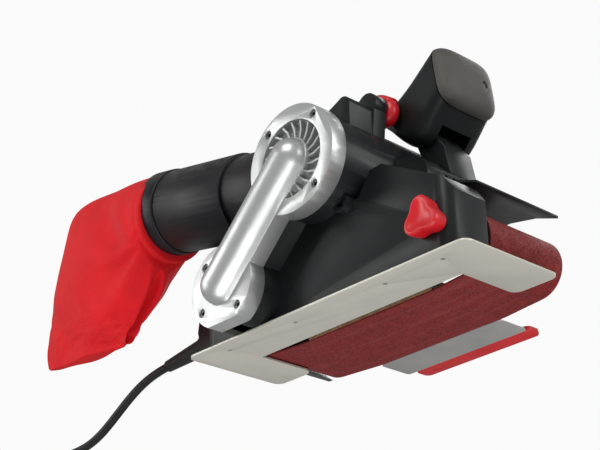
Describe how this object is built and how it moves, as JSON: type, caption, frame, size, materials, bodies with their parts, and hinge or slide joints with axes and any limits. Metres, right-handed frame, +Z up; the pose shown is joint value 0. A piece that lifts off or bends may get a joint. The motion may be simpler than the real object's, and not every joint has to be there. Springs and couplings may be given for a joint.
{
  "type": "belt sander",
  "caption": "Handheld belt sander with transverse motor, cast side drive cover, D handle, tilting front grip, sanding frame, side shoe, dust spout, cloth dust bag and mains cord.",
  "frame": {"origin": "middle of the sanding belt's flat underside, on the sanding plane", "axes": "+X to the nose, +Y to the open belt side, +Z up from the work"},
  "size_m": [0.6587, 0.2535, 0.1959],
  "materials": {
    "bare_steel": "brushed",
    "cast_alloy": "satin cast",
    "dark_casting": "painted",
    "dark_steel": "blackened",
    "black_shell": "satin moulded",
    "grey_button": "gloss",
    "red_plastic": "gloss moulded",
    "red_rubber": "soft",
    "grip_rubber": "soft grip",
    "black_rubber": "matt",
    "abrasive_cloth": "grit on cloth",
    "copper": "drawn",
    "bag_cloth": "woven"
  },
  "bodies": {
    "housing": {"sanding_frame": "bare_steel", "side_shoe": "bare_steel", "shoe_bumper": "red_rubber", "shoe_bracket": "bare_steel", "sanding_belt": "abrasive_cloth", "platen": "bare_steel", "cork_pad": "black_rubber", "chassis": "dark_casting", "side_cover": "black_shell", "belt_hood": "black_shell", "motor_housing": "black_shell", "motor_end_cap": "black_shell", "drive_cover": "cast_alloy", "vane_ring": "cast_alloy", "cover_screws": "dark_steel", "toothed_belt": "black_rubber", "motor_bearings": "bare_steel", "stator": "bare_steel", "brush_gear": "copper", "counter_bearings": "bare_steel", "drum_bearings": "bare_steel", "tension_spring": "bare_steel", "handle_right": "black_shell", "handle_left": "black_shell", "switch": "black_shell", "handle_bracket": "black_shell", "handle_pin": "bare_steel", "dust_port": "black_shell", "strain_relief": "black_rubber", "cord": "black_rubber", "cord_coil": "black_rubber", "plug": "black_rubber"},
    "rotor": {"motor_pulley": "cast_alloy", "rotor_shaft": "bare_steel", "armature": "copper", "commutator": "copper", "cooling_fan": "black_shell"},
    "countershaft": {"counter_shaft": "bare_steel", "counter_pulley": "cast_alloy", "pinion": "bare_steel"},
    "drum": {"drive_shaft": "bare_steel", "drive_gear": "bare_steel", "drive_drum": "cast_alloy", "drum_lagging": "black_rubber"},
    "carriage": {"idler_carriage": "cast_alloy", "idler_axle": "bare_steel"},
    "idler": {"idler_drum": "cast_alloy", "idler_bearings": "bare_steel"},
    "lever": {"release_lever": "bare_steel"},
    "tracking": {"tracking_knob": "red_plastic", "tracking_screw": "bare_steel"},
    "trigger_body": {"trigger": "black_shell"},
    "button": {"lock_button": "grey_button"},
    "front_handle": {"front_grip": "black_shell", "grip_cap": "grip_rubber", "cap_screw": "dark_steel"},
    "clamp": {"clamp_lever": "red_plastic"},
    "spout": {"dust_spout": "black_shell"},
    "bag": {"bag_collar": "black_shell", "dust_bag": "bag_cloth"}
  },
  "joints": [
    {"name": "rotor_spin", "type": "hinge", "parent": "housing", "child": "rotor", "pos_m": [-0.0095, 0, 0.0998], "axis": [0, 1, 0], "continuous": true},
    {"name": "counter_spin", "type": "hinge", "parent": "housing", "child": "countershaft", "pos_m": [-0.0846, 0, 0.0295], "axis": [0, 1, 0], "continuous": true},
    {"name": "drum_spin", "type": "hinge", "parent": "housing", "child": "drum", "pos_m": [-0.11, 0, 0.0295], "axis": [0, 1, 0], "continuous": true},
    {"name": "belt_tension", "type": "slide", "parent": "housing", "child": "carriage", "axis": [1, 0, 0], "range_m": [-0.006, 0], "deforming": ["tension_spring"]},
    {"name": "idler_spin", "type": "hinge", "parent": "carriage", "child": "idler", "pos_m": [0.08, 0, 0.024], "axis": [0, 1, 0], "continuous": true},
    {"name": "release_swing", "type": "hinge", "parent": "housing", "child": "lever", "pos_m": [-0.03, 0, 0.03], "axis": [0, 1, 0], "range_deg": [-35, 0]},
    {"name": "tracking_turn", "type": "hinge", "parent": "housing", "child": "tracking", "pos_m": [0.087, 0, 0.025], "axis": [0, 1, 0], "range_deg": [-180, 180]},
    {"name": "trigger_pull", "type": "hinge", "parent": "housing", "child": "trigger_body", "pos_m": [-0.072, 0, 0.137], "axis": [0, 1, 0], "range_deg": [0, 6], "stiffness_Nm_per_rad": 0.6},
    {"name": "lock_press", "type": "slide", "parent": "housing", "child": "button", "axis": [0, 1, 0], "range_m": [0, 0.003], "stiffness_N_per_m": 150},
    {"name": "front_tilt", "type": "hinge", "parent": "housing", "child": "front_handle", "pos_m": [0.017, 0, 0.15], "axis": [0, 1, 0], "range_deg": [-25, 5]},
    {"name": "clamp_swing", "type": "hinge", "parent": "housing", "child": "clamp", "pos_m": [0.017, 0, 0.15], "axis": [0, 1, 0], "range_deg": [0, 90]},
    {"name": "spout_swivel", "type": "hinge", "parent": "housing", "child": "spout", "pos_m": [-0.103, -0.06, 0.123], "axis": [0.9781, 0, -0.2079], "range_deg": [-20, 0]},
    {"name": "bag_pull", "type": "slide", "parent": "spout", "child": "bag", "axis": [-0.9781, 0, 0.2079], "range_m": [0, 0.06]}
  ],
  "couplings": [
    {"joint": "counter_spin", "follows": "rotor_spin", "ratio": 0.75},
    {"joint": "drum_spin", "follows": "rotor_spin", "ratio": -0.25},
    {"joint": "idler_spin", "follows": "rotor_spin", "ratio": -0.31773},
    {"joint": "release_swing", "follows": "belt_tension", "rad_per_m": 101.81}
  ]
}
